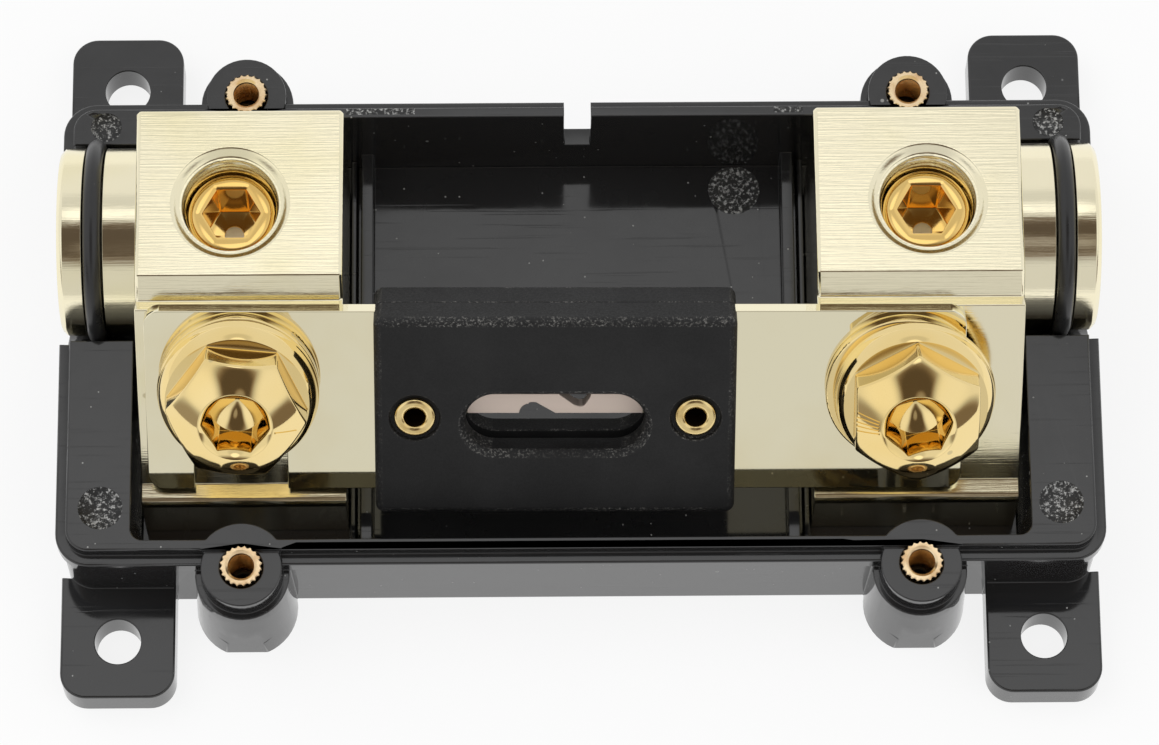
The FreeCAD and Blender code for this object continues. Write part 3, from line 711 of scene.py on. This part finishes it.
def insertSection(angle):
    # A toothed outside, and rings of thread down the bore
    s = insertSetup
    share = angle / 360 * s["teeth"] % 1
    valley = min(max((0.42 - abs(share - 0.5)) / 0.2, 0), 1) * s["tooth"]  # sloping sides, flat bottom
    outer = s["radius"] - valley
    bottom = s["top"] - s["length"]
    rows = [(s["bore"], bottom), (outer - s["edge"], bottom), (outer, bottom + s["edge"]),
            (outer, s["top"] - s["edge"]), (outer - s["edge"], s["top"]),
            (s["bore"] + s["mouth"] + 0.05, s["top"]), (s["bore"] + s["mouth"], s["top"] - 0.03),
            (s["bore"], s["top"] - s["mouth"])]
    turn = angle / 360 * s["pitch"]
    height = s["top"] - s["mouth"] - s["pitch"] * 0.75
    while height > bottom + s["pitch"] * 1.5:
        rows += [(s["bore"], height + s["pitch"] * 0.4 - turn), (s["bore"] + s["thread"], height - turn)]
        height -= s["pitch"]
    return rows + [(s["bore"], bottom)]


def makeInserts():
    s = insertSetup
    angles = [index * 360 / s["columns"] for index in range(s["columns"])]
    knurled = wrappedSheet("insert", angles, insertSection)
    smoothOver(knurled, 30)
    paintWith(knurled, insertBrass)
    for endName, end in (("front", -1), ("back", 1)):
        for sideName, side in (("left", -1), ("right", 1)):
            piece = twinOf(knurled, "insert" + endName.title() + sideName.title())
            turn = 7 * side + 3 * end  # each was pressed in at its own turn
            bringTo(piece, (side * s["x"], end * s["y"], 0), (0, 0, turn))
            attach(piece, "holder")
            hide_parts("insert_" + endName + "_" + sideName)
    bpy.data.objects.remove(knurled)
    print("inserts made")


makeInserts()


# Cable terminals
terminalSetup = {"edge": 0.12 * mm}


def makeTerminals():
    for side in ("left", "right"):
        terminal = copyOfNode("terminal_" + side, "terminal" + side.title())
        roundEdges(terminal, terminalSetup["edge"], angle=32)
        smoothOver(terminal)
        paintWith(terminal, champagnePlate)
        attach(terminal, "holder")
        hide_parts("terminal_" + side)
    print("terminals made")


makeTerminals()


# Sealing rings, with the thin flash of the mould round them
ringSetup = {"x": 48.0, "middle": 9.345, "section": 0.875, "flash": 1.004, "around": 144, "across": 24}


def makeRings():
    s = ringSetup
    bpy.ops.object.select_all(action="DESELECT")
    bpy.ops.mesh.primitive_torus_add(major_segments=s["around"], minor_segments=s["across"],
                                     major_radius=s["middle"] * mm, minor_radius=s["section"] * mm)
    ring = bpy.context.object
    edge = (s["middle"] + s["section"]) * mm
    for corner in ring.data.vertices:  # the outermost row stands a little proud
        if math.hypot(corner.co.x, corner.co.y) > edge * 0.99999:
            corner.co.x *= s["flash"]
            corner.co.y *= s["flash"]
    pick(ring)
    bpy.ops.object.shade_smooth()
    paintWith(ring, blackRubber)
    for side, sign in (("left", -1), ("right", 1)):
        piece = twinOf(ring, "sealingRing" + side.title())
        bringTo(piece, (sign * s["x"], slopeSetup["axisY"], slopeSetup["axisZ"]), (0, 90, 0))
        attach(piece, "holder")
        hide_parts("sealing_ring_" + side)
    bpy.data.objects.remove(ring)
    print("sealing rings made")


makeRings()


# Set screws: a threaded body with a flat-floored hexagon socket, drilled in its middle
screwSetup = {"x": 34.3, "top": 22.5, "length": 8.0, "radius": 4.4, "pitch": 1.5, "thread": 0.5,
              "threadShape": ((0.12, 0.0), (0.5, 1.0), (0.56, 1.0), (0.94, 0.0)),
              "chamfer": 0.5, "socket": 5.0, "corner": 0.2, "socketDepth": 6.2, "drill": 0.95, "point": 0.12,
              "mouth": 0.12,
              "columns": (0, 0.8, 1.6, 2.6, 5, 10, 15, 20, 25, 30, 35, 40, 45, 50, 55, 57.4, 58.4, 59.2)}


def setScrewSection(angle):
    # Up the drilled point and the socket, over the top and down the thread, with close rows at each corner
    s = screwSetup
    top, bottom = s["top"], s["top"] - s["length"]
    floor = top - s["socketDepth"]
    reach = hexagonReach(s["socket"], angle, s["corner"])
    rows = [(0.0, floor - s["point"]), (0.3, floor - s["point"]), (s["drill"] - 0.02, floor - s["point"]),
            (s["drill"], floor - s["point"] + 0.02), (s["drill"] + 0.03, floor), (reach - 0.12, floor),
            (reach - 0.03, floor + 0.03), (reach, floor + 0.12), (reach, top - s["mouth"] - 0.05),
            (reach + s["mouth"] * 0.3, top - s["mouth"] * 0.3), (reach + s["mouth"], top),
            (s["radius"] - s["chamfer"] - 0.05, top), (s["radius"] - s["chamfer"] + 0.03, top - 0.03)]
    turn = (angle / 360 - 1) * s["pitch"]
    height = top - s["chamfer"] - 0.05
    rows.append((s["radius"] - 0.05, height))
    height += turn
    while height - s["pitch"] > bottom - s["pitch"] + s["chamfer"]:
        for share, deep in s["threadShape"]:
            place = min(max(height - share * s["pitch"], bottom + s["chamfer"]), top - s["chamfer"] - 0.1)
            rows.append((s["radius"] - s["thread"] * deep, place))
        height -= s["pitch"]
    return rows + [(s["radius"] - 0.05, bottom + s["chamfer"]), (s["radius"] - s["chamfer"], bottom),
                   (0.0, bottom)]


def makeSetScrews():
    s = screwSetup
    angles = [corner + offset for corner in range(0, 360, 60) for offset in s["columns"]]
    screw = wrappedSheet("setScrew", angles, setScrewSection)
    smoothOver(screw, 34)
    paintWith(screw, screwPlate, drillHighlightPlate)
    discTop = s["top"] - s["socketDepth"] - s["point"] / 2
    # the drilled point takes the paler finish, a painted highlight
    for face in screw.data.polygons:
        x, y, z = (value / mm for value in face.center)
        if math.hypot(x, y) < s["drill"] and abs(z - discTop) < s["point"]:
            face.material_index = 1
    for side, sign in (("left", -1), ("right", 1)):
        piece = twinOf(screw, "setScrew" + side.title())
        bringTo(piece, (sign * s["x"], slopeSetup["axisY"], 0))
        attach(piece, "set_screw_" + side)
        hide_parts("set_screw_" + side)
    bpy.data.objects.remove(screw)
    print("set screws made")


makeSetScrews()


# Clamp bolts: a domed hexagon on a wide flange, with a hexagon socket and a threaded shank.
# The grade lines stand in a fan on the dome. Lengths in millimetres.
boltSetup = {
    "left": {"x": -33.5, "y": -7.4, "hexagonTurn": -6, "socketTurn": -4, "lines": [-11.0]},
    "right": {"x": 32.7, "y": -8.1, "hexagonTurn": 30, "socketTurn": 13,
              "lines": [169.3, 174.0, 179.0, 183.4, 188.6]},
    "under": 17.52, "acrossFlats": 12.0, "corner": 0.35, "headHeight": 7.7, "base": 2.75, "landRadius": 7.05,
    "crownStart": 3.6, "crownEnd": 6.978, "crownFall": 2.3, "crownBulge": 0.16, "crownEdge": 0.16,
    "flangeRadius": 7.8, "flangeEdge": 1.0, "roll": 0.15, "shoulderBulge": 0.2, "fillet": 0.12,
    "socket": 5.6, "socketCorner": 0.2, "socketDepth": 4.4, "point": 1.4, "mouth": 0.75,
    "shank": 4.0, "length": 11.0, "pitch": 1.25, "thread": 0.5, "tip": 0.8,
    "lineStart": 3.95, "lineEnd": 6.0, "lineWidth": 0.16, "lineHeight": 0.13, "lineSunk": 0.12,
    "columns": 360, "sharp": 34, "near": 0.03,
}


def crownHeight(radius):
    # The dome's height at a distance from its axis
    s = boltSetup
    start = (s["crownStart"], s["headHeight"])
    end = (s["crownEnd"], s["headHeight"] - s["crownFall"])
    points = arcOver(start, end, s["crownBulge"], 40)
    for (r0, z0), (r1, z1) in zip(points, points[1:]):
        if radius <= r1:
            return z0 + (z1 - z0) * (radius - r0) / (r1 - r0)
    return points[-1][1]


def boltSection(angle, setup):
    # From the bottom of the socket, over the dome and flange, to the end of the shank. Rows close to a
    # corner keep the faces beside it flat in their shading.
    s = boltSetup
    socket = hexagonReach(s["socket"], angle - setup["socketTurn"], s["socketCorner"])
    hexagon = hexagonReach(s["acrossFlats"], angle - setup["hexagonTurn"], s["corner"])
    top = s["headHeight"]
    floor = top - s["socketDepth"]
    half = s["socket"] / 2
    mouthFoot = top - s["mouth"] + socket - half
    rows = [(0.0, floor - s["point"]), (0.3, floor - s["point"] + 0.02), (half - 0.05, floor - 0.03),
            (half - 0.02, floor), (socket - 0.02, floor), (socket, floor + 0.05), (socket, floor + 0.08),
            (socket, mouthFoot - 0.09), (socket, mouthFoot - 0.06), (socket + 0.05, mouthFoot + 0.05),
            (half + s["mouth"] - 0.05, top - 0.06), (s["crownStart"] - 0.03, top - 0.02),
            (s["crownStart"] + 0.06, crownHeight(s["crownStart"] + 0.06))]
    first = s["crownStart"] + 0.1
    last = hexagon - s["crownEdge"]
    radii = [first + (last - first) * step / 9 for step in range(10)]
    rows += [(radius, crownHeight(radius)) for radius in radii]
    edge = crownHeight(hexagon)
    inner, lower = (last, crownHeight(last)), (hexagon, edge - s["crownEdge"])
    for share in (0.25, 0.5, 0.75):  # a curve over the dome's edge
        before, corner, after = (1 - share) ** 2, 2 * share * (1 - share), share ** 2
        rows.append((before * inner[0] + corner * hexagon + after * lower[0],
                     before * inner[1] + corner * edge + after * lower[1]))
    fillet, near = s["fillet"], s["near"]
    land = max(s["landRadius"], hexagon + fillet)
    rows += [lower, (hexagon, lower[1] - near), (hexagon, s["base"] + fillet + near),
             (hexagon, s["base"] + fillet), (hexagon + fillet * 0.3, s["base"] + fillet * 0.3),
             (hexagon + fillet, s["base"]), (max(land - near, hexagon + fillet), s["base"]),
             (land, s["base"])]
    shoulder = (land + near, s["base"] - near)
    rows += arcOver(shoulder, (s["flangeRadius"], s["flangeEdge"]), s["shoulderBulge"], 6)
    rim = [(s["flangeRadius"] + s["roll"] * math.sin(math.pi * step / 6), s["flangeEdge"] * (1 - step / 6))
           for step in range(1, 7)]
    rows += rim + [(s["shank"], 0.0)]
    height = -0.4  # the thread starts close under the flange
    while height > s["tip"] - s["length"]:
        share = (height / s["pitch"] - angle / 360) % 1
        rows.append((s["shank"] - s["thread"] * (1 - abs(2 * share - 1)), height))
        height -= s["pitch"] / 6
    return rows + [(s["shank"] - s["thread"], s["tip"] - s["length"]), (s["shank"] - s["tip"], -s["length"]),
                   (0.0, -s["length"])]


def makeClampBolts():
    s = boltSetup
    angles = range(s["columns"])
    for side in ("left", "right"):
        setup = s[side]
        name = "clampBolt" + side.title()
        bolt = wrappedSheet(name, angles, lambda angle: boltSection(angle, setup))
        for line in setup["lines"]:
            joinTo(bolt, makeGradeLine(line))
        smoothOver(bolt, s["sharp"])
        bringTo(bolt, (0, 0, s["under"]))
        ontoSlope(bolt, (setup["x"], setup["y"], 0))
        paintWith(bolt, goldPlate)
        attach(bolt, "clamp_" + side)
        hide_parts("clamp_bolt_" + side)
        washer = copyOfNode("washer_" + side, "washer" + side.title())
        smoothOver(washer)
        paintWith(washer, goldPlate)
        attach(washer, "clamp_" + side)
        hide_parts("washer_" + side)
    print("clamp bolts made")


def makeGradeLine(angle):
    # A low rib that follows the dome outwards
    s = boltSetup
    half = s["lineWidth"] / 2
    sunk = s["lineSunk"]
    reach = s["lineEnd"] - s["lineStart"]
    radii = [s["lineStart"] + reach * step / 6 for step in range(7)]
    foot = [(radius * mm, -half * mm, (crownHeight(radius) - sunk) * mm) for radius in radii]
    line = traceLine("gradeLine", foot)
    bpy.ops.mesh.select_all(action="SELECT")
    bpy.ops.mesh.extrude_region_move(TRANSFORM_OT_translate={"value": (0, s["lineWidth"] * mm, 0)})
    bpy.ops.mesh.select_all(action="SELECT")
    rise = (s["lineHeight"] + sunk) * mm
    bpy.ops.mesh.extrude_region_move(TRANSFORM_OT_translate={"value": (0, 0, rise)})
    bpy.ops.mesh.select_all(action="SELECT")
    bpy.ops.mesh.normals_make_consistent(inside=False)
    endEdit()
    bringTo(line, (0, 0, 0), (0, 0, angle))
    paintWith(line, goldPlate)
    return line


makeClampBolts()


# Fuse: blades with the link between them, two halves of the body, and the eyelets.
# The fuse lies a little askew on the plates. The notches' corners are points on the slope.
fuseSetup = {
    "x": -2.5, "y": -9.8, "middle": 15.5, "edge": 0.1 * mm, "bodyEdge": 0.16 * mm,
    "turn": -0.35, "turnAt": (-2.5, -9.45), "linkHalf": 8.6, "windowHalf": 9.5, "spacing": 13.75,
    "cutReach": 2, "faintPaleEdges": 0.45,
    "lowerNotch": [(-5.84, -11.2), (-5.84, -10.7), (-5.5, -10.1), (-4.95, -9.68), (-4.4, -9.68),
                   (-3.9, -10.0), (-2.4, -10.95), (-2.4, -11.2)],
    "upperNotch": [(-2.13, -8.4), (-2.13, -8.75), (-0.6, -9.95), (-0.1, -10.1), (0.35, -10.05), (0.65, -9.6),
                   (0.77, -8.9), (0.77, -8.4)],
    "ringMiddle": 1.53, "ringRadius": 0.52, "ringRise": 3.2, "ringTop": 3.9, "bore": 1.0,
}


def ontoFuse(piece, place=(0, 0, 0)):
    x, y = fuseSetup["turnAt"]
    bringTo(piece, place)
    bringTo(piece, (-x, -y, 0))
    bringTo(piece, (x, y, 0), (0, 0, fuseSetup["turn"]))
    ontoSlope(piece, (0, 0, 0))


def makeFuseElement():
    s = fuseSetup
    element = copyOfNode("fuse_element", "fuseElement")
    for notch in ("lowerNotch", "upperNotch"):
        cutter = cutOutline(notch, s[notch], s["middle"] - s["cutReach"], s["middle"] + s["cutReach"])
        ontoFuse(cutter)
        carve(element, cutter)
    roundEdges(element, s["edge"], angle=30)
    for side in (-1, 1):
        splitAcross(element, s["x"] + side * s["linkHalf"])
    smoothOver(element)
    paintWith(element, bladePlate, linkMetal)
    for face in element.data.polygons:
        if abs(face.center.x - s["x"] * mm) < s["linkHalf"] * mm:
            face.material_index = 1
    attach(element, "holder")
    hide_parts("fuse_element")


def makeFuseBody():
    s = fuseSetup
    for half, name in (("upper", "fuseBodyUpper"), ("lower", "fuseBodyLower")):
        body = copyOfNode("fuse_body_" + half, name)
        roundEdges(body, s["bodyEdge"], segments=3, angle=32)
        smoothOver(body)
        paintWith(body, fusePlastic)
        markPaleEdges(body)
        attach(body, "holder")
        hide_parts("fuse_body_" + half)
    print("fuse made")


def markPaleEdges(body):
    # Faces that turn away from the slab's six sides are painted paler, the top edge and window most
    wear = body.data.attributes.new("paleEdges", "FLOAT", "FACE")
    angle = math.radians(slopeSetup["angle"])
    upwards = Vector((0, -math.sin(angle), math.cos(angle)))
    along = Vector((0, math.cos(angle), math.sin(angle)))
    for face in body.data.polygons:
        squareness = max(abs(face.normal.x), abs(face.normal.dot(upwards)), abs(face.normal.dot(along)))
        if squareness < 0.985:  # turned at least 10 degrees away
            inWindow = abs(face.center.x - fuseSetup["x"] * mm) < fuseSetup["windowHalf"] * mm
            facesBack = face.normal.dot(along) > 0.3
            wear.data[face.index].value = 1.0 if inWindow or facesBack else fuseSetup["faintPaleEdges"]


def eyeletOutline():
    # A rolled ring at each end of a short tube, as (radius, height)
    s = fuseSetup
    rise = (s["ringTop"] - s["ringRise"]) / 2
    middle = s["ringRise"] + rise
    upper = []
    for step in range(13):
        turn = math.radians(180 - 15 * step)
        upper.append((s["ringMiddle"] + s["ringRadius"] * math.cos(turn), middle + rise * math.sin(turn)))
    upper += [(s["ringMiddle"] + s["ringRadius"] - 0.03, s["ringRise"] + 0.06),
              (s["ringMiddle"] + s["ringRadius"] - 0.12, s["ringRise"]), (s["bore"] + 0.35, s["ringRise"])]
    return upper + [(radius, -height) for radius, height in reversed(upper)]


def makeEyelets():
    s = fuseSetup
    eyelet = turnedPiece("eyelet", eyeletOutline(), steps=72)
    smoothOver(eyelet, 50, weighted=False)
    paintWith(eyelet, eyeletBrass, boreShadeBrown)
    # painted shade: the tube's inside takes the dark brown finish
    for face in eyelet.data.polygons:  # the tube is dark inside
        x, y, z = face.center
        if math.hypot(x, y) < (s["bore"] + 0.12) * mm and abs(z) < (s["ringTop"] - 0.35) * mm:
            face.material_index = 1
    for side, sign in (("left", -1), ("right", 1)):
        piece = twinOf(eyelet, "fuseEyelet" + side.title())
        ontoFuse(piece, (s["x"] + sign * s["spacing"], s["y"], s["middle"]))
        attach(piece, "holder")
        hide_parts("fuse_eyelet_" + side)
    bpy.data.objects.remove(eyelet)


makeFuseElement()
makeFuseBody()
makeEyelets()

bpy.ops.object.select_all(action="DESELECT")
